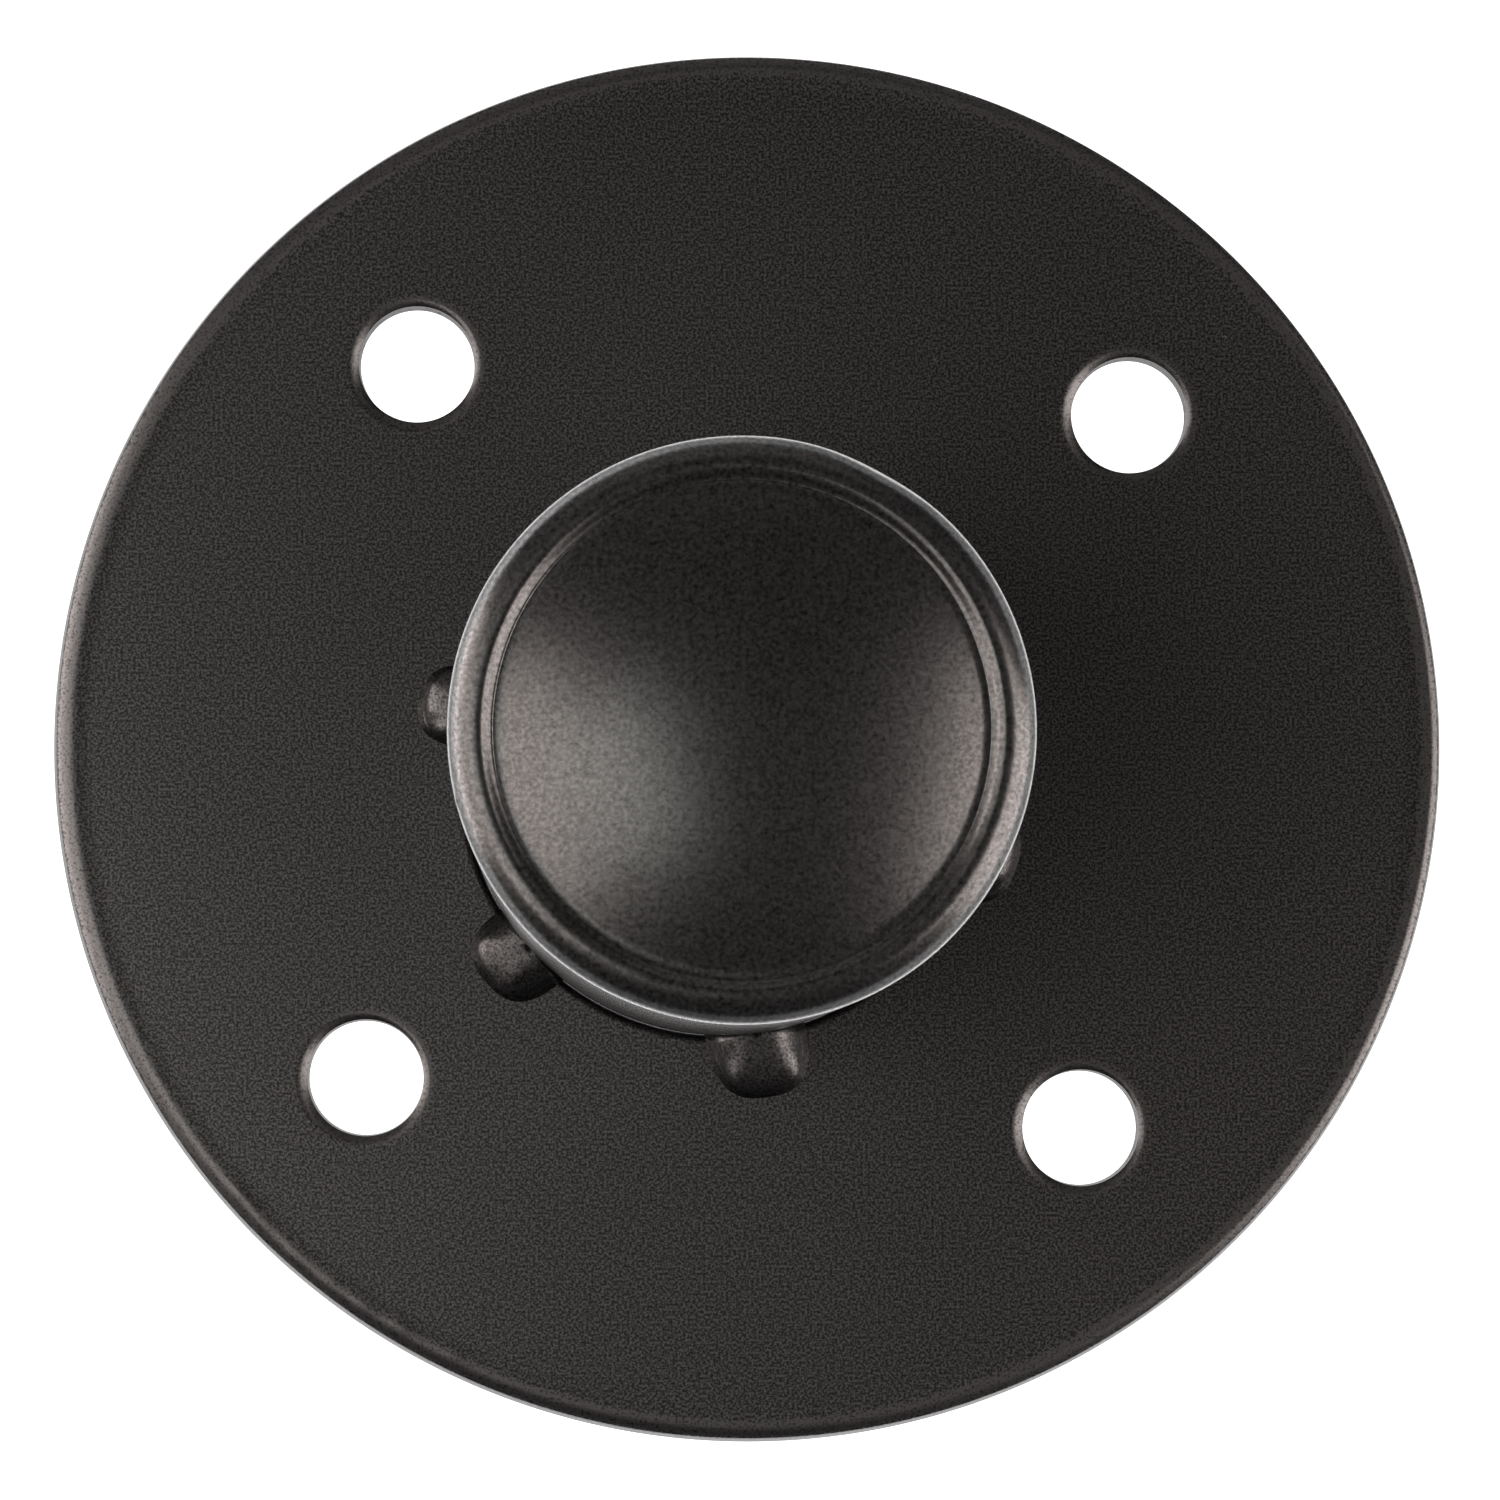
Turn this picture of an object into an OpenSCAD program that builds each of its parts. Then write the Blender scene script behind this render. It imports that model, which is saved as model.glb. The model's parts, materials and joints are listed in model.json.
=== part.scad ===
// Pole socket flange: a round bolt-down plate with a closed tube welded through it.
// The plate lies on XY with the centre of its underside at the origin, and the tube stands along +Z.
// The pole goes into the tube from below, through the plate.

/* [Flange plate] */
// Outside diameter of the round plate
plate_d = 110; // [104:1:150]
// Thickness of the plate
plate_t = 3; // [2.5:0.1:5]
// Rounding that blanking leaves on the plate's upper rim
rim_round = 1.1; // [0.5:0.1:1.5]

/* [Bolt holes] */
// Number of bolt holes
bolt_count = 4; // [3:1:8]
// Diameter of the circle through the bolt holes' centres
bolt_circle_d = 80; // [74:1:90]
// Diameter of each bolt hole
bolt_hole_d = 9; // [5:0.5:11]
// Angle of the first bolt hole, anticlockwise from +X
bolt_angle = 41; // [0:1:90]
// Rounding that punching leaves on each hole's upper edge
hole_round = 0.6; // [0.2:0.1:1]

/* [Socket tube] */
// Inside diameter of the tube, which takes the pole
bore_d = 36.5; // [30:0.5:44]
// Wall thickness of the tube
tube_wall = 2.25; // [2:0.05:3]
// Height of the lip's crest above the underside of the plate
socket_h = 86; // [50:1:120]
// How far the tube stands off the plate's centre along X
socket_x = -2; // [-3:0.1:3]
// How far the tube stands off the plate's centre along Y
socket_y = -2.4; // [-3:0.1:3]
// Gap all round between the tube and the plate's centre hole
plate_gap = 0.3; // [0.1:0.05:0.5]
// Chamfer at the mouth of the bore
mouth_chamfer = 0.6; // [0.2:0.1:1]

/* [Rolled lip and plug] */
// Depth of the step turned in the tube's end, on which the plug sits
seat_step = 1; // [0.8:0.05:1.2]
// Outer radius of the bend that rolls the lip over the plug
roll_r = 2; // [1.7:0.1:2.5]
// How far the lip is rolled past its crest, in degrees
roll_past = 35; // [20:1:45]
// Thickness left at the lip's edge, where it is pressed down on the plug
lip_edge_t = 0.15; // [0.1:0.05:0.5]
// Thickness of the plug
plug_t = 2.5; // [1.5:0.1:3]
// Height of the plug's dome above its own rim
dome_rise = 3; // [2:0.1:4]
// Gap between the plug and the tube's step, and between the plug and the lip
plug_gap = 0.05; // [0.02:0.01:0.1]

/* [Weld tacks] */
// Width of each weld tack along the joint
tack_w = 6.6; // [4:0.2:8]
// How far each weld tack reaches out from the tube
tack_reach = 4; // [3.4:0.1:5]

/* [Hidden] */
$fn = 96;

// Angles of the hand-placed tacks, anticlockwise from +X
tack_angles = [44, 104, 165, 218, 277, 343];
tack_names = [for (i = [1:len(tack_angles)]) str("weld_tack_", i)];

// Overlap that lets a cut run clear of a face
cut = 1;

bore_r = bore_d / 2;
tube_r = bore_r + tube_wall;

// The lip bends about a circle at roll_c and roll_z, and ends at tip_r and tip_z, past its crest
seat_r = bore_r + seat_step;
roll_c = tube_r - roll_r;
roll_z = socket_h - roll_r;
tip_r = roll_c - roll_r * sin(roll_past);
tip_z = roll_z + roll_r * cos(roll_past);

// The plug is a shell between two spheres about dome_z, cut off flat where its hollow meets the bore
plug_r = seat_r - plug_gap;
dome_r = (plug_r ^ 2 + dome_rise ^ 2) / (2 * dome_rise);
space_r = dome_r + plug_gap;
dome_z = tip_z - lip_edge_t - sqrt(space_r ^ 2 - tip_r ^ 2);
hollow_r = dome_r - plug_t;
seat_z = dome_z + sqrt(hollow_r ^ 2 - bore_r ^ 2);

module at_socket() {
    translate([socket_x, socket_y, 0]) children();
}

// Half outline of a disc of radius r and thickness t, with its upper rim rounded
module rounded_disc_outline(r, t, round_r) {
    square([r - round_r, t]);
    square([r, t - round_r]);
    translate([r - round_r, t - round_r]) circle(r = round_r);
}

// Half outline of a punch of radius r through thickness t, flared by a round at the upper edge
module punch_outline(r, t, round_r) {
    translate([0, -cut]) square([r, t + 2 * cut]);
    difference() {
        translate([0, t - round_r]) square([r + round_r, round_r + cut]);
        translate([r + round_r, t - round_r]) circle(r = round_r);
    }
}

module flange_plate() {
    color([0.17, 0.17, 0.17])
    difference() {
        rotate_extrude() rounded_disc_outline(plate_d / 2, plate_t, rim_round);
        for (i = [0:bolt_count - 1])
            rotate([0, 0, bolt_angle + i * 360 / bolt_count])
                translate([bolt_circle_d / 2, 0, 0])
                    rotate_extrude() punch_outline(bolt_hole_d / 2, plate_t, hole_round);
        at_socket()
            translate([0, 0, -cut]) cylinder(r = tube_r + plate_gap, h = plate_t + 2 * cut);
    }
}

// Half outline of the lip's bend: a sector that runs from the wall to roll_past beyond the crest
module lip_outline() {
    intersection() {
        circle(r = roll_r);
        union() {
            square([roll_r, roll_r]);
            rotate([0, 0, roll_past]) square([roll_r, roll_r]);
        }
    }
}

// Half outline of the space for the plug, which the step and the underside of the lip close in
module plug_space() {
    intersection() {
        translate([0, dome_z]) circle(r = space_r);
        translate([0, seat_z]) square([seat_r, socket_h]);
    }
}

module socket_tube() {
    color([0.15, 0.15, 0.15])
    at_socket()
        difference() {
            rotate_extrude()
                difference() {
                    union() {
                        translate([bore_r, 0]) square([tube_wall, roll_z]);
                        translate([roll_c, roll_z]) lip_outline();
                    }
                    plug_space();
                }
            translate([0, 0, -cut])
                cylinder(r1 = bore_r + mouth_chamfer + cut, r2 = bore_r, h = mouth_chamfer + cut);
        }
}

module end_plug() {
    color([0.16, 0.16, 0.16])
    at_socket()
        rotate_extrude()
            difference() {
                intersection() {
                    translate([0, dome_z]) circle(r = dome_r);
                    translate([0, seat_z]) square([plug_r, socket_h]);
                }
                translate([0, dome_z]) circle(r = hollow_r);
            }
}

// A rounded dab of weld metal in the corner between the tube and the plate
module weld_tack(angle) {
    color([0.13, 0.13, 0.13])
    at_socket()
        difference() {
            translate([0, 0, plate_t]) rotate([0, 0, angle]) {
                translate([tube_r + tack_reach - tack_w / 2, 0, 0]) sphere(d = tack_w);
                rotate([0, 90, 0]) cylinder(d = tack_w, h = tube_r + tack_reach - tack_w / 2);
            }
            cylinder(r = tube_r, h = socket_h);
            translate([0, 0, plate_t - tack_w]) cylinder(r = tube_r + tack_reach + cut, h = tack_w);
        }
}

flange_plate();
socket_tube();
end_plug();
for (i = [0:len(tack_angles) - 1])
    weld_tack(tack_angles[i]);
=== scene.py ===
import json
import math

import bmesh
import bpy
import numpy as np
from mathutils import Matrix, Vector


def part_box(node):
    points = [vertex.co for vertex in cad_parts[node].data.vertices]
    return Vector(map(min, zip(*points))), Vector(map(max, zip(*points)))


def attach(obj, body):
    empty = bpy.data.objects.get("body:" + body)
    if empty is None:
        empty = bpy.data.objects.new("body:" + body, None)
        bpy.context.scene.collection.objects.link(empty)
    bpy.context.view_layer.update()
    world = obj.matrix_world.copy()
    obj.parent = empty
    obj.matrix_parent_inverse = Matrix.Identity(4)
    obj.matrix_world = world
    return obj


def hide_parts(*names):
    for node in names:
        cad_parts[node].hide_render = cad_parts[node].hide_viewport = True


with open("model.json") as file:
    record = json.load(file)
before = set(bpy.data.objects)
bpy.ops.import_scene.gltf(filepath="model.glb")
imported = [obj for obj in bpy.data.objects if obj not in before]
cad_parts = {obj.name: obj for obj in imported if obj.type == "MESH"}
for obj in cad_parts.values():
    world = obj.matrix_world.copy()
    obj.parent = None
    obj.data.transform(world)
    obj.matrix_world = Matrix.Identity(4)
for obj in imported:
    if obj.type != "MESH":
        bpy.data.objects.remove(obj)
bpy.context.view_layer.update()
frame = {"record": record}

# ---------------------------------------------------------------------------------------------
# Flange plate: a disc blanked from 3 mm steel sheet, with a hole for the tube and four punched
# bolt holes. The punch rolls every upper edge over and leaves the walls leaning and a little
# torn. The powder coat has built up in a faint bead just inside the rim.

MM = 0.001
mounts = {m["name"]: m for m in frame["record"]["mounts"]}
plate_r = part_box("flange_plate")[1].x
plate_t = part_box("flange_plate")[1].z
bolt_r = mounts["bolt_holes"]["dims"]["hole_r_mm"] * MM
bolt_circle_r = mounts["bolt_holes"]["dims"]["pcd_mm"] * MM / 2
bolt_count = mounts["bolt_holes"]["dims"]["count"]
first_bolt = math.radians(41)
socket_at = np.array(mounts["pole_socket"]["pos_m"][:2])
tube_r = (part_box("socket_tube")[1].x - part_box("socket_tube")[0].x) / 2

# The hole for the tube is 0.3 mm wider than the tube all round, and closes on it at its foot.
tube_gap = 0.3 * MM
foot_gap = 0.002 * MM

# The plate is worked out in three belts: round the tube, round the bolt holes, and along the rim.
hub_r = 26 * MM
belt_r = 50 * MM
around = 480
across_belt = 40

rng = np.random.default_rng(7)


def circle(centre, radius, angles):
    """Points centre + radius * (cos a, sin a), one for each angle a."""
    return np.asarray(centre) + radius * np.stack([np.cos(angles), np.sin(angles)], -1)


def crowded(count, power):
    """count shares from 0 to 1 that crowd towards 1: 1 - (1 - s) ** power."""
    return 1 - (1 - np.linspace(0, 1, count)) ** power


def bumps(x, y, places):
    """Sum of soft round bumps, each height * exp(-(distance / width) ** 2), at (x, y, width, height)."""
    total = np.zeros_like(x)
    for at_x, at_y, width, height in places:
        total += height * np.exp(-((x - at_x) ** 2 + (y - at_y) ** 2) / width ** 2)
    return total


def coat_relief(x, y):
    """Height that the coat adds to the plate's upper face at (x, y).

    A slow wave of three crossed sines, plus a bead that rises over bead_w towards the rim's roll
    as s * s * (3 - 2 * s), half as high again at the left and right, plus small runs and grit
    along the rim.
    """
    wave = np.sin(x * 210 + y * 60) + np.sin(y * 260 - x * 90 + 2) + np.sin(x * 120 + y * 170 + 4)
    wave_h, bead_w, bead_end, bead_h = 0.004 * MM, 1.5 * MM, 1.45 * MM, 0.03 * MM
    share = np.clip((bead_end + bead_w - (plate_r - np.hypot(x, y))) / bead_w, 0, 1)
    bead = bead_h * share * share * (3 - 2 * share) * (1 + 0.5 * np.abs(x) / plate_r)
    return wave_h * wave + bead + bumps(x, y, rim_marks)


def rim_mark(degrees, inside, width, height):
    """A bump at an angle round the rim and a distance inside it, for bumps(), from millimetres."""
    a = math.radians(degrees)
    r = plate_r - inside * MM
    return r * math.cos(a), r * math.sin(a), width * MM, height * MM


rim_marks = [rim_mark(d, 1.2 + 0.5 * math.sin(d * 5), 0.55, 0.06)
             for d in (221.3, 222.9, 224.4, 228.5, 232.1, 235.6, 239.2, 244.1)]
rim_marks += [rim_mark(d, 0.5, 0.25, 0.05) for d in (327.8, 330.9, 332.1, 334.4)]


def cut_edge(border, edge, into, roll_w, lean, corner, tear):
    """Both faces of the plate from a border to a cut edge, with the edge's own profile, as a grid.

    The rows go from the border to the roll on the upper face, down the edge, and back on the
    underside. Measured from the edge into the plate (reach) and up (z), with a as the slope:
      roll    reach = start - R sin a, z = t - R (1 - cos a), with R = roll_w / sin(roll_end)
      corner  the same arc with the small radius corner, on to the leaning wall
      wall    straight, leaning out by lean, with seeded tear marks in its lower half
      foot    a quarter of a circle of radius foot_r under to the underside
    """
    roll_end, foot_r, relief_fade = math.radians(38), 0.15 * MM, 0.5 * MM
    wall_slope = math.pi / 2 - math.atan2(lean, plate_t)
    n = len(edge)
    roll_w = np.broadcast_to(roll_w, n)
    bend = roll_w / math.sin(roll_end)

    a = np.linspace(0, roll_end, 9)[:, None]
    corner_w = corner * (math.sin(wall_slope) - math.sin(roll_end))
    start = lean + corner_w + roll_w
    reach = [start - bend * np.sin(a)]
    z = [plate_t - bend * (1 - np.cos(a))]

    a = np.linspace(roll_end, wall_slope, 6)[1:, None]
    reach.append(lean + corner_w - corner * (np.sin(a) - math.sin(roll_end)) + 0 * bend)
    z.append(z[0][-1] - corner * (math.cos(roll_end) - np.cos(a)))

    s = np.linspace(0, 1, 8)[1:, None]
    wall = lean * (1 - s) + 0 * bend
    marks = rng.normal(0, 1, (len(s), n)) * np.sin(np.pi * np.clip(s * 1.15 - 0.15, 0, 1))
    marks = (marks + np.roll(marks, 1, 1) + np.roll(marks, -1, 1)) / 3
    marks[:, -1] = marks[:, 0]
    reach.append(wall + np.abs(marks) * tear)
    z.append(z[1][-1] * (1 - s) + foot_r * s)

    a = np.linspace(0, math.pi / 2, 4)[1:, None]
    reach.append(foot_r * (1 - np.cos(a)) + 0 * bend)
    z.append(foot_r * (1 - np.sin(a)) + 0 * bend)

    reach, z = np.concatenate(reach), np.concatenate(z)
    profile = edge + into * reach[..., None]
    over = crowded(18, 1.9)[:-1, None, None]
    under = crowded(5, 2.5)[::-1][1:, None, None]
    top = border * (1 - over) + profile[:1] * over
    bottom = border * (1 - under) + profile[-1:] * under
    plan = np.concatenate([top, profile, bottom])
    z = np.concatenate([np.full(top.shape[:2], plate_t), z, np.zeros(bottom.shape[:2])])
    fade = np.clip((z - plate_t + relief_fade) / relief_fade, 0, 1)
    z = z + coat_relief(plan[..., 0], plan[..., 1]) * fade
    return np.concatenate([plan, z[..., None]], -1)


def skin(name, grids):
    """One closed mesh from grids of points (rows, columns, 3).

    Each cell of a grid becomes a face. Points that meet are merged, and the normals are
    recalculated so that they face outwards.
    """
    points, cells, first = [], [], 0
    for grid in grids:
        rows, columns = grid.shape[:2]
        index = first + np.arange(rows * columns).reshape(rows, columns)
        points.append(grid.reshape(-1, 3))
        cells.append(np.stack([index[:-1, :-1], index[:-1, 1:], index[1:, 1:], index[1:, :-1]], -1))
        first += rows * columns
    mesh = bpy.data.meshes.new(name)
    mesh.from_pydata(np.concatenate(points), [], np.concatenate([c.reshape(-1, 4) for c in cells]))
    bm = bmesh.new()
    bm.from_mesh(mesh)
    bmesh.ops.remove_doubles(bm, verts=bm.verts, dist=0.001 * MM)
    bmesh.ops.recalc_face_normals(bm, faces=bm.faces)
    bm.to_mesh(mesh)
    bm.free()
    mesh.shade_smooth()
    piece = bpy.data.objects.new(name, mesh)
    bpy.context.scene.collection.objects.link(piece)
    return piece


ring = first_bolt - math.pi / bolt_count + np.linspace(0, 2 * math.pi, around + 1)
hub_border = circle((0, 0), hub_r, ring)
rim_border = circle((0, 0), belt_r, ring)
outward = circle((0, 0), 1, ring)

# The roll is wider on the left of the rim, and of each bolt hole, than on the right.
rim_lean = 0.36 * MM
rim_roll_w = (0.92 + 0.33 * np.cos(ring - math.radians(190))) * MM
plate_grids = [
    cut_edge(hub_border, circle(socket_at, tube_r + foot_gap, ring), outward,
             roll_w=0.4 * MM, lean=tube_gap - foot_gap, corner=0.05 * MM, tear=0.03 * MM),
    cut_edge(rim_border, circle((0, 0), plate_r, ring), -outward,
             roll_w=rim_roll_w, lean=rim_lean, corner=0.1 * MM, tear=0.01 * MM),
]
for i in range(bolt_count):
    step = around // bolt_count
    quarter = slice(i * step, (i + 1) * step + 1)
    side = np.linspace(0, 1, across_belt + 1)[:, None]
    outer, inner = rim_border[quarter], hub_border[quarter][::-1]
    loop = np.concatenate([
        outer[:-1],
        (outer[-1] * (1 - side) + inner[0] * side)[:-1],
        inner[:-1],
        inner[-1] * (1 - side) + outer[0] * side,
    ])
    centre = circle((0, 0), bolt_circle_r, first_bolt + i * 2 * math.pi / bolt_count)
    toward = (loop - centre) / np.linalg.norm(loop - centre, axis=1)[:, None]
    bearing = np.arctan2(toward[:, 1], toward[:, 0])
    roll_w = (0.70 + 0.27 * np.cos(bearing - math.radians(205))) * MM
    plate_grids.append(cut_edge(loop, centre + bolt_r * toward, toward,
                                roll_w=roll_w, lean=0.1 * MM, corner=0.05 * MM, tear=0.06 * MM))
plate = skin("punched_flange", plate_grids)


def build_up(x, y):
    """How smooth the coat has flowed at (x, y): 1 near a cut edge, falling to 0 over flow_fade.

    1 - s * s * (3 - 2 * s), where s runs over flow_fade beyond flow_w from the nearest bolt hole, or
    beyond flow_w + rim_extra from the rim. It drops below 0 along the rim's sharp corner, by
    thin_depth * exp(-(distance / thin_w) ** 2), because the coat is thin and dull there.
    """
    flow_w, flow_fade, rim_extra = 0.6 * MM, 0.5 * MM, 0.9 * MM
    thin_depth, thin_w = 1.9, 0.1 * MM
    inside = plate_r - np.hypot(x, y)
    thin = thin_depth * np.exp(-((inside - rim_lean) / thin_w) ** 2)
    nearest = inside - rim_extra
    for i in range(bolt_count):
        at = circle((0, 0), bolt_circle_r, first_bolt + i * 2 * math.pi / bolt_count)
        nearest = np.minimum(nearest, np.hypot(x - at[0], y - at[1]) - bolt_r)
    s = np.clip((nearest - flow_w) / flow_fade, 0, 1)
    return 1 - s * s * (3 - 2 * s) - thin


points = np.empty(len(plate.data.vertices) * 3)
plate.data.vertices.foreach_get("co", points)
flowed = plate.data.attributes.new("flowed coat", "FLOAT", "POINT")
flowed.data.foreach_set("value", build_up(points[0::3], points[1::3]))


def new_group(name, inputs, outputs):
    """An empty shader node group with the named sockets: each input is (kind, name, default)."""
    group = bpy.data.node_groups.new(name, "ShaderNodeTree")
    for kind, label, default in inputs:
        socket = group.interface.new_socket(label, in_out="INPUT", socket_type="NodeSocket" + kind)
        socket.default_value = default
    for kind, label in outputs:
        group.interface.new_socket(label, in_out="OUTPUT", socket_type="NodeSocket" + kind)
    return group


def add(tree, kind, links=(), **values):
    """A node of that kind in the tree: links pairs its inputs with sources, values are its settings."""
    node = tree.nodes.new("ShaderNode" + kind)
    for setting, value in values.items():
        setattr(node, setting, value)
    for socket, source in links:
        if isinstance(source, bpy.types.NodeSocket):
            tree.links.new(source, node.inputs[socket])
        else:
            node.inputs[socket].default_value = source
    return node


def maths(tree, operation, a, b=0.0, c=0.0):
    """The output of a Math node: a, b and c are numbers or output sockets."""
    return add(tree, "Math", [(0, a), (1, b), (2, c)], operation=operation).outputs[0]


def build_coat_texture():
    """Powder coat: a fine grain, a broader orange peel, and the odd speck of grit.

    Height = (grain * grain depth + speck * speck depth) * (1 - flow_calm * Flow) + peel * peel
    depth, all in metres. The colour and the roughness vary with a slow cloud, and the colour and
    the gloss with the grain: its tops shine more than its pits. Where Flow is 1 the coat has run
    smooth: it shines more, and its grain and specks are weaker.
    """
    group = new_group(
        "powder coat",
        [("Color", "Colour", (0.02, 0.02, 0.02, 1)), ("Float", "Roughness", 0.45),
         ("Float", "Grain Size", 0.2 * MM), ("Float", "Grain Depth", 0.02 * MM),
         ("Float", "Peel Size", 1.5 * MM), ("Float", "Peel Depth", 0.01 * MM),
         ("Float", "Speck Depth", 0.03 * MM), ("Float", "Gloss", 0.5), ("Float", "Gloss Contrast", 4.0),
         ("Float", "Flow", 0.0)],
        [("Color", "Colour"), ("Float", "Roughness"), ("Float", "Gloss"), ("Float", "Height")])
    entry = group.nodes.new("NodeGroupInput").outputs
    place = add(group, "TexCoord").outputs["Object"]
    cloud_scale, speck_scale, speck_sharpness, speck_share = 45.0, 260.0, 22.0, 0.2
    cloud_tone, grain_contrast, darkest = 0.4, 4.0, 0.1
    cloud_rough, flow_smooth, flow_gloss, flow_calm = 0.06, 0.03, 0.55, 0.25

    grain_scale = maths(group, "DIVIDE", 1.0, entry["Grain Size"])
    grain = add(group, "TexNoise", [("Vector", place), ("Scale", grain_scale), ("Detail", 2.0),
                                    ("Roughness", 0.6)]).outputs[0]
    peel_scale = maths(group, "DIVIDE", 1.0, entry["Peel Size"])
    peel = add(group, "TexNoise", [("Vector", place), ("Scale", peel_scale), ("Detail", 1.0),
                                   ("Roughness", 0.4)]).outputs[0]
    cells = add(group, "TexVoronoi", [("Vector", place), ("Scale", speck_scale), ("Randomness", 1.0)])
    speck = maths(group, "MULTIPLY_ADD", cells.outputs["Distance"], -speck_sharpness, 1.0)
    speck = maths(group, "MAXIMUM", speck, 0.0)
    draw = add(group, "SeparateColor", [(0, cells.outputs["Color"])]).outputs[0]
    rare = maths(group, "GREATER_THAN", draw, 1 - speck_share)
    speck = maths(group, "MULTIPLY", speck, rare)
    cloud = add(group, "TexNoise", [("Vector", place), ("Scale", cloud_scale), ("Detail", 3.0)]).outputs[0]

    rugged = maths(group, "MULTIPLY_ADD", entry["Flow"], -flow_calm, 1.0)
    height = maths(group, "MULTIPLY", grain, entry["Grain Depth"])
    height = maths(group, "MULTIPLY_ADD", speck, entry["Speck Depth"], height)
    height = maths(group, "MULTIPLY", height, rugged)
    height = maths(group, "MULTIPLY_ADD", peel, entry["Peel Depth"], height)

    grain_tone = maths(group, "MULTIPLY", maths(group, "SUBTRACT", grain, 0.5), rugged)
    tone = maths(group, "MULTIPLY_ADD", cloud, cloud_tone, 1 - cloud_tone / 2)
    tone = maths(group, "MULTIPLY_ADD", grain_tone, grain_contrast, tone)
    tone = maths(group, "MAXIMUM", tone, darkest)
    colour = add(group, "VectorMath", [(0, entry["Colour"]), ("Scale", tone)], operation="SCALE").outputs[0]
    rough = maths(group, "MULTIPLY_ADD", cloud, cloud_rough, -cloud_rough / 2)
    rough = maths(group, "ADD", rough, entry["Roughness"])
    rough = maths(group, "MULTIPLY_ADD", entry["Flow"], -flow_smooth, rough)
    gloss = maths(group, "MULTIPLY_ADD", grain_tone, entry["Gloss Contrast"], entry["Gloss"])
    gloss = maths(group, "MULTIPLY_ADD", entry["Flow"], flow_gloss, gloss)
    gloss = maths(group, "MINIMUM", maths(group, "MAXIMUM", gloss, 0.0), 1.0)

    leave = group.nodes.new("NodeGroupOutput").inputs
    group.links.new(colour, leave["Colour"])
    group.links.new(rough, leave["Roughness"])
    group.links.new(gloss, leave["Gloss"])
    group.links.new(height, leave["Height"])
    return group


coat_texture = build_coat_texture()


def coat_material(name, settings, resin_shine, skin_roughness):
    """Black powder coat: the coat texture feeds one shader, whose top layer carries the grain's gloss.

    resin_shine is how strongly the coloured resin reflects, and skin_roughness how rough its skin is.
    """
    material = bpy.data.materials.new(name)
    material.use_nodes = True
    tree = material.node_tree
    shader = tree.nodes["Principled BSDF"]
    coat = tree.nodes.new("ShaderNodeGroup")
    coat.node_tree = coat_texture
    for label, value in settings.items():
        coat.inputs[label].default_value = value
    bump = add(tree, "Bump", [("Height", coat.outputs["Height"]), ("Distance", 1.0)])
    tree.links.new(coat.outputs["Colour"], shader.inputs["Base Color"])
    tree.links.new(coat.outputs["Roughness"], shader.inputs["Roughness"])
    tree.links.new(coat.outputs["Gloss"], shader.inputs["Coat Weight"])
    tree.links.new(bump.outputs["Normal"], shader.inputs["Normal"])
    shader.inputs["Coat Roughness"].default_value = skin_roughness
    shader.inputs["Specular IOR Level"].default_value = resin_shine
    return material


plate_coat = coat_material("plate powder coat", {
    "Colour": (0.0028, 0.0029, 0.0030, 1), "Roughness": 0.32,
    "Grain Size": 0.2 * MM, "Grain Depth": 0.016 * MM,
    "Peel Size": 1.6 * MM, "Peel Depth": 0.01 * MM, "Speck Depth": 0.05 * MM,
    "Gloss": 0.38, "Gloss Contrast": 5.5}, resin_shine=0.17, skin_roughness=0.37)
plate_tree = plate_coat.node_tree
plate_flow = add(plate_tree, "Attribute", attribute_name="flowed coat").outputs["Fac"]
plate_tree.links.new(plate_flow, plate_tree.nodes["Group"].inputs["Flow"])
plate.data.materials.append(plate_coat)
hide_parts("flange_plate")
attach(plate, "root")

# ---------------------------------------------------------------------------------------------
# Socket tube: welded steel tube, 41 mm across, pushed through the plate. Its far end is turned
# to a step for the plug and rolled inwards over it, which leaves a rounded lip with a slight
# flat on one side. It is coated inside and out.

plug_low, plug_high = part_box("end_plug")
bore_r = mounts["pole_socket"]["dims"]["r_mm"] * MM
lip_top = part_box("socket_tube")[1].z
roll_r = 2.12 * MM
mouth_chamfer = 0.6 * MM
crest_r = tube_r - roll_r
seat_z = plug_low.z
plug_r = (plug_high.x - plug_low.x) / 2
plug_gap = 0.05 * MM
seat_r = plug_r + plug_gap

# The plug's dome is part of a sphere. Where it meets the lip, coat and steel make a soft valley.
dome_rise = 3 * MM
dome_r = (plug_r ** 2 + dome_rise ** 2) / (2 * dome_rise)
dome_z = plug_high.z - dome_r
valley_r = 17.2 * MM
valley_bend = 2.2 * MM
dome_edge_r = valley_r / (1 + valley_bend / dome_r)
dome_edge_slope = math.asin(dome_edge_r / dome_r)
valley_z = dome_z + dome_r * math.cos(dome_edge_slope) - valley_bend * (1 - math.cos(dome_edge_slope))

# From the valley to the lip's crest the surface turns up and over again, through two arcs.
lip_slope = 2 * math.atan2(lip_top - valley_z, crest_r - valley_r)
two_bends = (crest_r - valley_r) / math.sin(lip_slope)
crest_share = 0.55
crest_bend = crest_share * two_bends
rise_bend = two_bends - crest_bend
seam_slope = math.radians(4)
seam_r = valley_r + rise_bend * math.sin(seam_slope)
seam_z = valley_z + rise_bend * (1 - math.cos(seam_slope))


def arc(r, z, radius, start, end, count):
    """count points on a circle about (r, z) from one angle to another, in degrees, as (r, z) rows."""
    a = np.radians(np.linspace(start, end, count))
    return np.stack([r + radius * np.cos(a), z + radius * np.sin(a)], -1)


def line(start, end, count):
    """count points evenly spaced from start to end."""
    s = np.linspace(0, 1, count)[:, None]
    return np.asarray(start) * (1 - s) + np.asarray(end) * s


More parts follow.
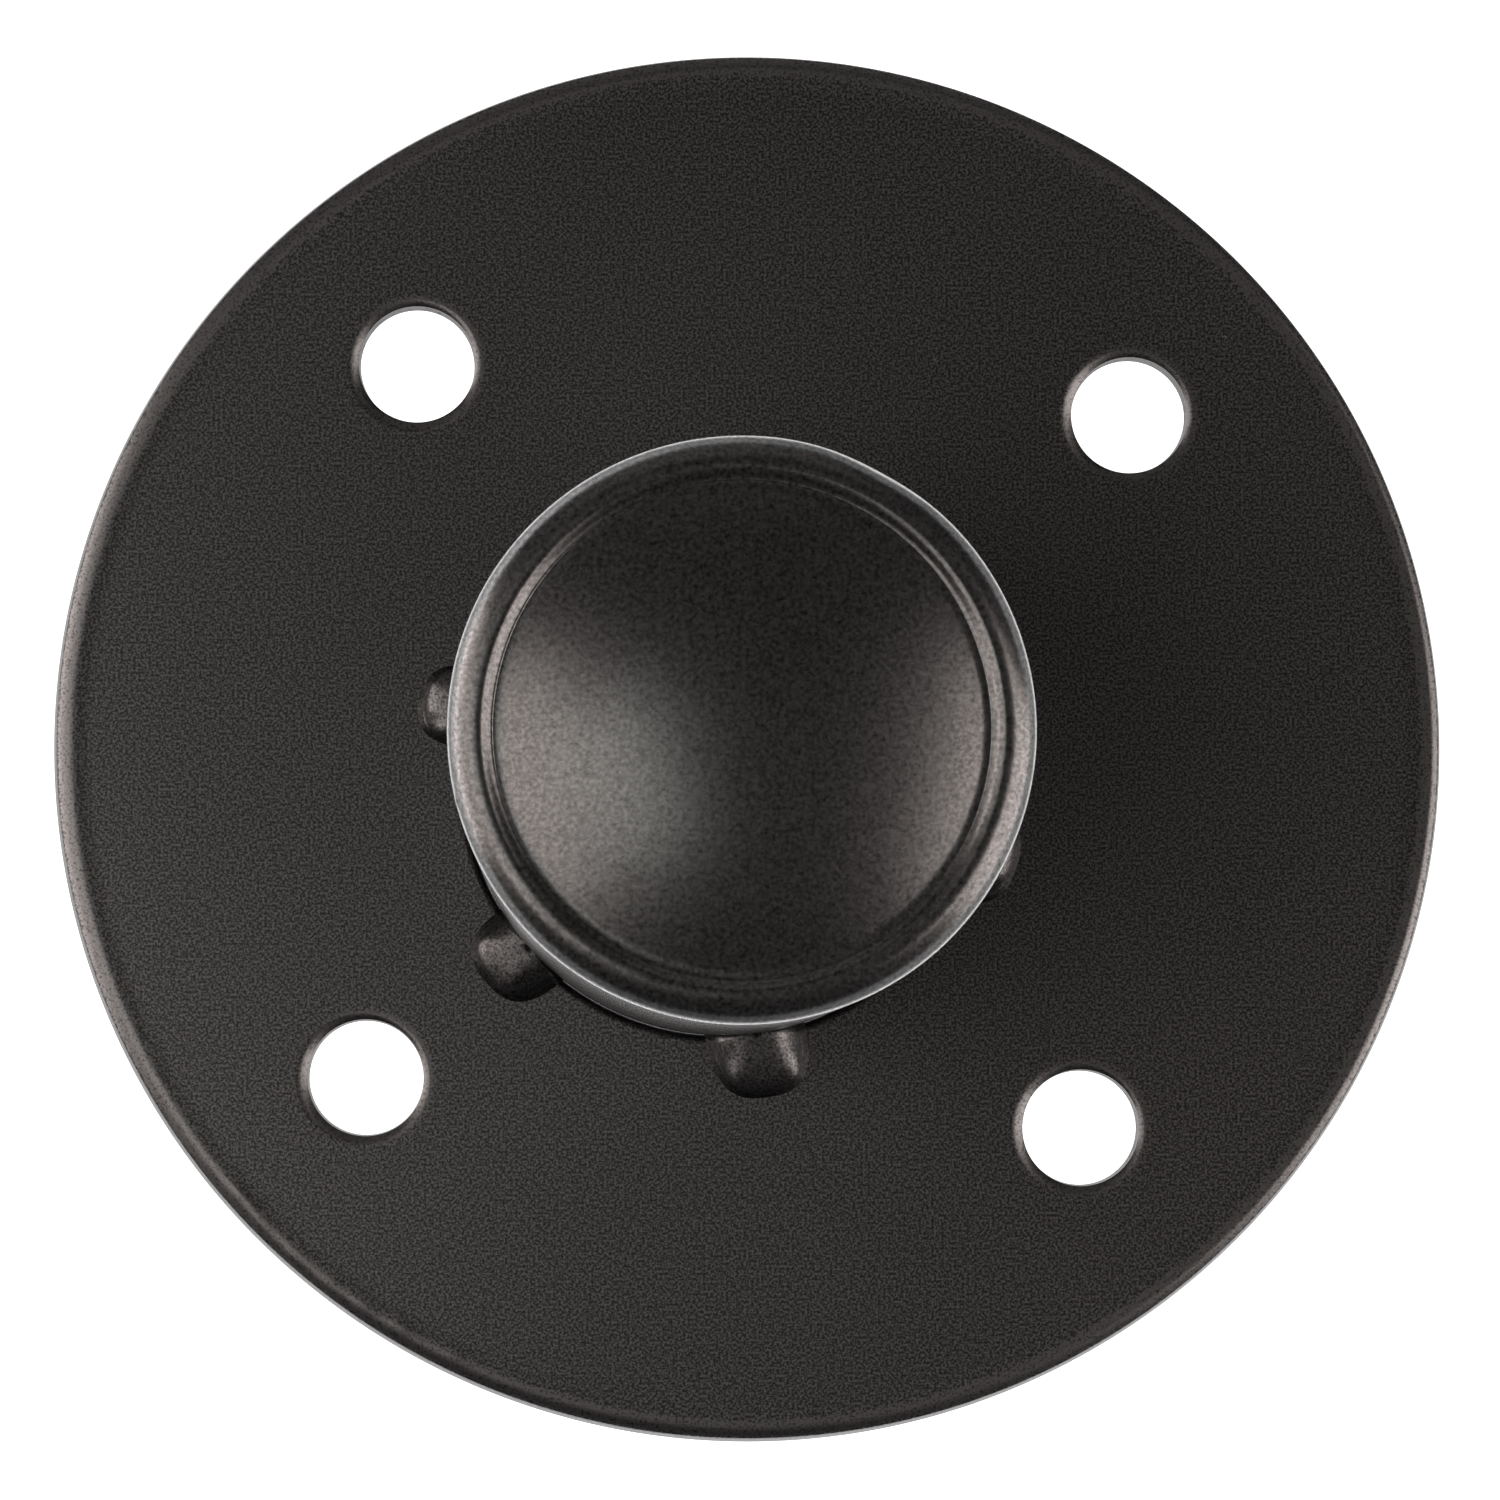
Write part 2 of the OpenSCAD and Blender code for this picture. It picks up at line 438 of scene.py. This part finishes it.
def sphere_arc(centre_z, radius, start_r, end_r, count):
    """Points on a sphere's outline between two distances from the axis: z = centre + sqrt(R^2 - r^2)."""
    r = np.linspace(start_r, end_r, count)
    return np.stack([r, centre_z + np.sqrt(radius ** 2 - r ** 2)], -1)


def turned(profile, columns, shape=None):
    """A profile of (r, z) carried round the socket's axis, as a grid of points.

    x = centre + r cos a, y = centre + r sin a. shape(a, r, z) may return changed r and z.
    """
    a = np.linspace(0, 2 * math.pi, columns + 1)[None, :]
    r = profile[:, :1] + 0 * a
    z = profile[:, 1:] + 0 * a
    if shape:
        r, z = shape(a, r, z)
    return np.stack([socket_at[0] + r * np.cos(a), socket_at[1] + r * np.sin(a), z], -1)


def lip_marks(a, r, z):
    """The lip as rolled: flattened by flat_d on one side, slightly uneven, with one small nib.

    r changes by -flat_d * exp(-(angle / flat_w) ** 2), by two slow sines round the tube, and by
    nib_h * exp(-(distance / nib_w) ** 2). Each fades out from marked below the top, and inwards.
    """
    flat_d, flat_at, flat_w = 0.17 * MM, math.radians(62), math.radians(9)
    nib_h, nib_at, nib_w, nib_below = 0.08 * MM, math.radians(194.3), 0.35 * MM, 1.6 * MM
    uneven_h, marked, marked_fade = 0.012 * MM, 3.5 * MM, 2 * MM
    near_top = np.clip((z - (lip_top - marked)) / marked_fade, 0, 1)
    outer = np.clip((r - crest_r) / (tube_r - crest_r), 0, 1)
    flat = np.exp(-((a - flat_at) / flat_w) ** 2)
    uneven = uneven_h * (np.sin(5 * a + 1) + np.sin(9 * a + 2.5) * 0.6)
    nib = nib_h * np.exp(-((a - nib_at) * tube_r / nib_w) ** 2
                         - ((z - (lip_top - nib_below)) / nib_w) ** 2)
    return r + outer * near_top * (uneven + nib - flat_d * flat), z


foot = 0.2 * MM
straight_end = 6 * MM
lip_bottom = seam_z - 0.1 * MM
crest = [
    arc(crest_r, lip_top - roll_r, roll_r, 0, 90, 22),
    arc(crest_r, lip_top - crest_bend, crest_bend, 90, 90 + math.degrees(lip_slope), 12)[1:],
    arc(valley_r, valley_z + rise_bend, rise_bend, -90 + math.degrees(lip_slope),
        -90 + math.degrees(seam_slope), 8)[1:],
]
tube_profile = np.concatenate([
    arc(tube_r - foot, foot, foot, -90, 0, 5),
    line((tube_r, foot), (tube_r, plate_t + straight_end), 12)[1:],
    line((tube_r, plate_t + straight_end), (tube_r, lip_top - straight_end), 24)[1:],
    line((tube_r, lip_top - straight_end), (tube_r, lip_top - roll_r), 10)[1:-1],
    *crest,
    line((seam_r, seam_z), (seam_r + 0.02 * MM, lip_bottom), 3)[1:],
    sphere_arc(dome_z, dome_r + plug_gap, seam_r + 0.1 * MM, seat_r, 10),
    line((seat_r, dome_z + math.sqrt((dome_r + plug_gap) ** 2 - seat_r ** 2)), (seat_r, seat_z), 5)[1:],
    line((seat_r, seat_z), (bore_r, seat_z), 3)[1:],
    line((bore_r, seat_z), (bore_r, mouth_chamfer), 24)[1:],
    line((bore_r, mouth_chamfer), (bore_r + mouth_chamfer, 0), 4)[1:],
    [(tube_r - foot, 0)],
])
tube = skin("rolled_tube", [turned(tube_profile, 384, lip_marks)])
socket_coat = coat_material("socket powder coat", {
    "Colour": (0.0044, 0.0046, 0.0047, 1), "Roughness": 0.25,
    "Grain Size": 0.3 * MM, "Grain Depth": 0.006 * MM,
    "Peel Size": 0.9 * MM, "Peel Depth": 0.012 * MM, "Speck Depth": 0.012 * MM,
    "Gloss": 0.65, "Gloss Contrast": 1.9}, resin_shine=0.2, skin_roughness=0.27)
tube.data.materials.append(socket_coat)
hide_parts("socket_tube")
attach(tube, "root")

# ---------------------------------------------------------------------------------------------
# End plug: a pressed steel cap, domed outside and hollow inside, which sits on the tube's step
# under the rolled lip and closes the bore.

plug_t = 2.5 * MM
hollow_r = dome_r - plug_t
seam_reach = 0.93
plug_profile = np.concatenate([
    sphere_arc(dome_z, dome_r, 0, dome_edge_r, 40),
    arc(valley_r, valley_z + valley_bend, valley_bend, -90 - math.degrees(dome_edge_slope), -90, 8)[1:],
    arc(valley_r, valley_z + rise_bend, rise_bend, -90, -90 + math.degrees(seam_slope) * seam_reach, 6)[1:],
    sphere_arc(dome_z, dome_r, seam_r + 0.02 * MM, plug_r, 10),
    line((plug_r, dome_z + math.sqrt(dome_r ** 2 - plug_r ** 2)), (plug_r, seat_z), 4)[1:],
    line((plug_r, seat_z), (bore_r, seat_z), 3)[1:],
    sphere_arc(dome_z, hollow_r, bore_r, 0, 24)[1:],
])
plug = skin("domed_plug", [turned(plug_profile, 256)])
plug.data.materials.append(socket_coat)
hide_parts("end_plug")
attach(plug, "root")

# ---------------------------------------------------------------------------------------------
# Weld tacks: short beads of weld metal, laid by hand in the corner between the tube and the
# plate, no two alike. The coat lies thick and smooth over them and wets out at their feet.

weld_coat = coat_material("weld powder coat", {
    "Colour": (0.0026, 0.0027, 0.0028, 1), "Roughness": 0.30,
    "Grain Size": 0.2 * MM, "Grain Depth": 0.02 * MM,
    "Peel Size": 1.4 * MM, "Peel Depth": 0.04 * MM, "Speck Depth": 0.02 * MM,
    "Gloss": 0.5, "Gloss Contrast": 3.0}, resin_shine=0.15, skin_roughness=0.40)


def power(base, exponent):
    """sign(base) * |base| ** exponent, which squares off a sine or a cosine."""
    return np.sign(base) * np.abs(base) ** exponent


def tack_grids(angle, width, reach, height, skew, seed):
    """A squared-off quarter of an ellipsoid against the tube, as grids of points.

    With u round the bead and v up it: along the joint x = width / 2 * cos(u)^side * cos(v)^crown, out
    from the tube y = reach * sin(u)^side * cos(v)^crown, and z = height * sin(v)^crown. A low toe
    widens its foot, slow sines dent it, it droops towards its outer end, and its back follows the
    tube's wall.
    """
    side, crown, toe, toe_h, sunk = 0.64, 0.62, 0.14, 0.5 * MM, 0.08 * MM
    broad_dent, small_dent, droop, bedded = 0.09, 0.05, 0.18, 0.02 * MM
    u = np.linspace(0, math.pi, 49)[None, :]
    v = np.concatenate([np.linspace(0, 0.3, 7)[:-1], np.linspace(0.3, math.pi / 2, 22)])[:, None]
    ring_size = power(np.cos(v), crown)
    z = height * power(np.sin(v), crown)
    ring_size = ring_size * (1 + toe * np.clip(1 - z / toe_h, 0, 1) ** 2)
    along = width / 2 * power(np.cos(u), side) * ring_size
    out = reach * power(np.sin(u), side) * ring_size
    dents = 1 + (broad_dent * np.sin(2.1 * u + seed) + small_dent * np.sin(5 * u + 2 * seed)) * np.sin(2 * v)
    along, out = along * dents + skew * out, out * dents
    z = z * (1 - droop * out / reach)

    def placed(along, out, z):
        """Bead coordinates to the row frame: the wall is at sqrt(tube_r^2 - x^2) from the axis."""
        far = np.sqrt(np.maximum(tube_r ** 2 - along ** 2, 0)) - sunk + out
        x = far * math.cos(angle) - along * math.sin(angle)
        y = far * math.sin(angle) + along * math.cos(angle)
        return np.stack([socket_at[0] + x, socket_at[1] + y, plate_t - bedded + z], -1)

    front = placed(along, out, z)
    share = np.linspace(0, 1, 13)[None, :]
    back_along = along[:, :1] * (1 - share) + along[:, -1:] * share
    back_out = out[:, :1] * (1 - share) + out[:, -1:] * share
    back_z = z[:, :1] * (1 - share) + z[:, -1:] * share
    back = placed(back_along, back_out, back_z)
    depth = np.linspace(0, 1, 9)[:, None]
    wall_along = np.interp(np.linspace(0, 1, 49), share[0], back_along[0])[None, :]
    wall_out = np.interp(np.linspace(0, 1, 49), share[0], back_out[0])[None, :]
    base = placed(along[:1] * (1 - depth) + wall_along * depth, out[:1] * (1 - depth) + wall_out * depth,
                  0 * depth * u)
    return [front, back, base]


# For each tack: its angle round the tube, its width, reach and height in millimetres, and its skew.
tack_sizes = [
    (44, 6.2, 3.6, 2.4, 0.1),
    (104, 6.4, 3.8, 2.5, -0.1),
    (165, 5.8, 3.8, 2.4, 0.05),
    (221.5, 6.6, 3.9, 2.6, -0.05),
    (277, 7.0, 4.6, 2.6, 0.08),
    (343, 6.8, 3.4, 2.4, 0.0),
]
for number, (degrees, width, reach, height, skew) in enumerate(tack_sizes, 1):
    grids = tack_grids(math.radians(degrees), width * MM, reach * MM, height * MM, skew, number)
    tack = skin(f"weld_bead_{number}", grids)
    tack.data.materials.append(weld_coat)
    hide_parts(f"weld_tack_{number}")
    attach(tack, "root")

# ---------------------------------------------------------------------------------------------
# Table: a white table, evenly bright to the camera. Towards the object its glow is painted light in place of
# the lamps' light on the table:
# it glows close by, is dimmer in a ring round it, is brightest far out to the left and the right, and has
# painted shade under the plate.

table_mesh = bpy.data.meshes.new("table")
half, drop = 1.5, 0.3 * MM
table_mesh.from_pydata([(-half, -half, -drop), (half, -half, -drop),
                        (half, half, -drop), (-half, half, -drop)], [], [(0, 1, 2, 3)])
table = bpy.data.objects.new("table", table_mesh)
bpy.context.scene.collection.objects.link(table)
table_white = bpy.data.materials.new("light table")
table_white.use_nodes = True
tree = table_white.node_tree
tree.nodes.clear()
where = add(tree, "TexCoord").outputs["Object"]
distance = add(tree, "VectorMath", [(0, where)], operation="LENGTH").outputs["Value"]
bearing = add(tree, "VectorMath", [(0, where)], operation="NORMALIZE").outputs["Vector"]


def along(direction):
    """The cosine between a point's bearing on the table and an angle in degrees."""
    a = math.radians(direction)
    return add(tree, "VectorMath", [(0, bearing), (1, (math.cos(a), math.sin(a), 0))],
               operation="DOT_PRODUCT").outputs["Value"]


def ramp(start, end, low, high):
    """A smooth step from low to high between two distances from the middle of the table."""
    return add(tree, "MapRange", [("Value", distance), ("From Min", start), ("From Max", end),
                                  ("To Min", low), ("To Max", high)],
               interpolation_type="SMOOTHSTEP").outputs[0]


# Close by: painted light, brightest just outside the plate's rim and dimmer by 140 mm out, with painted shade
# under the plate.
near_painted_light, ring_painted_light, painted_shade_under_plate, front_extra = 2.6, 0.35, 0.25, 0.1
near = maths(tree, "MULTIPLY", ramp(0.064, 0.14, near_painted_light, ring_painted_light), ramp(0.054, 0.062, painted_shade_under_plate, 1.0))
near = maths(tree, "MULTIPLY", near, maths(tree, "MULTIPLY_ADD", along(-90), front_extra, 1.0))

# Far out: painted light in a broad lobe to the left, a weaker one to the right, and a little from behind.
left_painted_light, right_painted_light, back_painted_light, low_painted_light = 4.2, 1.8, 0.8, 0.2
left = maths(tree, "POWER", maths(tree, "MAXIMUM", along(165), 0.0), 2.0)
right = maths(tree, "POWER", maths(tree, "MAXIMUM", along(345), 0.0), 2.0)
back = maths(tree, "MAXIMUM", along(90), 0.0)
sides = maths(tree, "MULTIPLY_ADD", left, left_painted_light, maths(tree, "MULTIPLY_ADD", right, right_painted_light, low_painted_light))
sides = maths(tree, "MULTIPLY_ADD", back, back_painted_light, sides)
far = maths(tree, "MULTIPLY", ramp(0.09, 0.27, 0.0, 1.0), sides)

# The camera itself sees the table plain and bright.
seen = add(tree, "LightPath").outputs["Is Camera Ray"]
seen_glow = 1.6
glow = add(tree, "Mix", [(0, seen), (2, maths(tree, "ADD", near, far)), (3, seen_glow)]).outputs[0]
emission = add(tree, "Emission", [("Color", (1, 0.985, 0.985, 1)), ("Strength", glow)]).outputs[0]
below = add(tree, "NewGeometry").outputs["Backfacing"]
clear = add(tree, "BsdfTransparent").outputs[0]
top_only = add(tree, "MixShader", [(0, below), (1, emission), (2, clear)]).outputs[0]
tree.links.new(top_only, add(tree, "OutputMaterial").inputs["Surface"])
table.data.materials.append(table_white)

# ---------------------------------------------------------------------------------------------
# Studio: soft boxes in a row on the left, from the table to high above it, weaker ones on the
# right, and dim surroundings that look white to the camera.


def soft_box(name, azimuth, elevation, span, rise, brightness, colour=(1.0, 0.89, 0.85)):
    """A rectangular lamp on a sphere of box_distance round the object, facing it.

    All its angles are in degrees: it spans span round the object and rise upwards. Its power is
    brightness * 4 * pi * its area, so that brightness doesn't change with its size.
    """
    box_distance, box_centre = 0.6, Vector((0, 0, 0.04))
    a, e = math.radians(azimuth), math.radians(elevation)
    towards = Vector((math.cos(a) * math.cos(e), math.sin(a) * math.cos(e), math.sin(e)))
    lamp = bpy.data.lights.new(name, "AREA")
    lamp.shape = "RECTANGLE"
    lamp.size = 2 * box_distance * math.cos(e) * math.tan(math.radians(span / 2))
    lamp.size_y = 2 * box_distance * math.tan(math.radians(rise / 2))
    lamp.energy = brightness * 4 * math.pi * lamp.size * lamp.size_y
    lamp.color = colour
    box = bpy.data.objects.new(name, lamp)
    turn = towards.to_track_quat("Z", "Y").to_matrix().to_4x4()
    box.matrix_world = Matrix.Translation(towards * box_distance + box_centre) @ turn
    box.visible_camera = False
    bpy.context.scene.collection.objects.link(box)


# Name, azimuth, elevation, span, rise and brightness. Only the top one is near white.
soft_box("left box, top", 196, 74, 66, 12, 1.35, (1.0, 0.965, 0.92))
soft_box("left box, upper", 191, 59, 60, 18, 1.65)
soft_box("left box, middle", 180, 41, 50, 18, 1.40)
soft_box("left box, lower", 178, 23, 50, 18, 2.00)
soft_box("left box, foot", 177, 6, 50, 16, 2.70)
soft_box("right box, upper", 350, 50, 52, 22, 2.20)
soft_box("right box, middle", 347, 29, 46, 20, 2.30)
soft_box("right box, foot", 345, 9, 46, 20, 2.00)
soft_box("back box", 95, 30, 60, 50, 0.12)

world = bpy.data.worlds.new("studio")
world.use_nodes = True
surroundings = world.node_tree.nodes["Background"]
surroundings.inputs["Color"].default_value = (1.0, 0.98, 0.97, 1)
seen = add(world.node_tree, "LightPath").outputs["Is Camera Ray"]
lit_level, seen_level = 0.03, 1.2
level = add(world.node_tree, "Mix", [(0, seen), (2, lit_level), (3, seen_level)]).outputs[0]
world.node_tree.links.new(level, surroundings.inputs["Strength"])
bpy.context.scene.world = world
bpy.context.scene.view_settings.view_transform = "Standard"

# ---------------------------------------------------------------------------------------------
# Camera: a long lens, almost straight above the plate and a little to its lower left.

view_w = 118.55 * MM
eye = Vector((-0.0126, -0.0286, 0.668))
look_at = Vector((0.00011, -0.00036, plate_t))
camera = bpy.data.objects.new("camera", bpy.data.cameras.new("camera"))
ahead = (look_at - eye).normalized()
right = ahead.cross(Vector((0, 1, 0))).normalized()
turn = Matrix((right, right.cross(ahead), -ahead)).transposed()
camera.matrix_world = Matrix.Translation(eye) @ turn.to_4x4()
camera.data.sensor_width = 36
camera.data.lens = camera.data.sensor_width * (look_at - eye).length / view_w
camera.data.clip_start, camera.data.clip_end = 0.05, 10
bpy.context.scene.collection.objects.link(camera)
bpy.context.scene.camera = camera
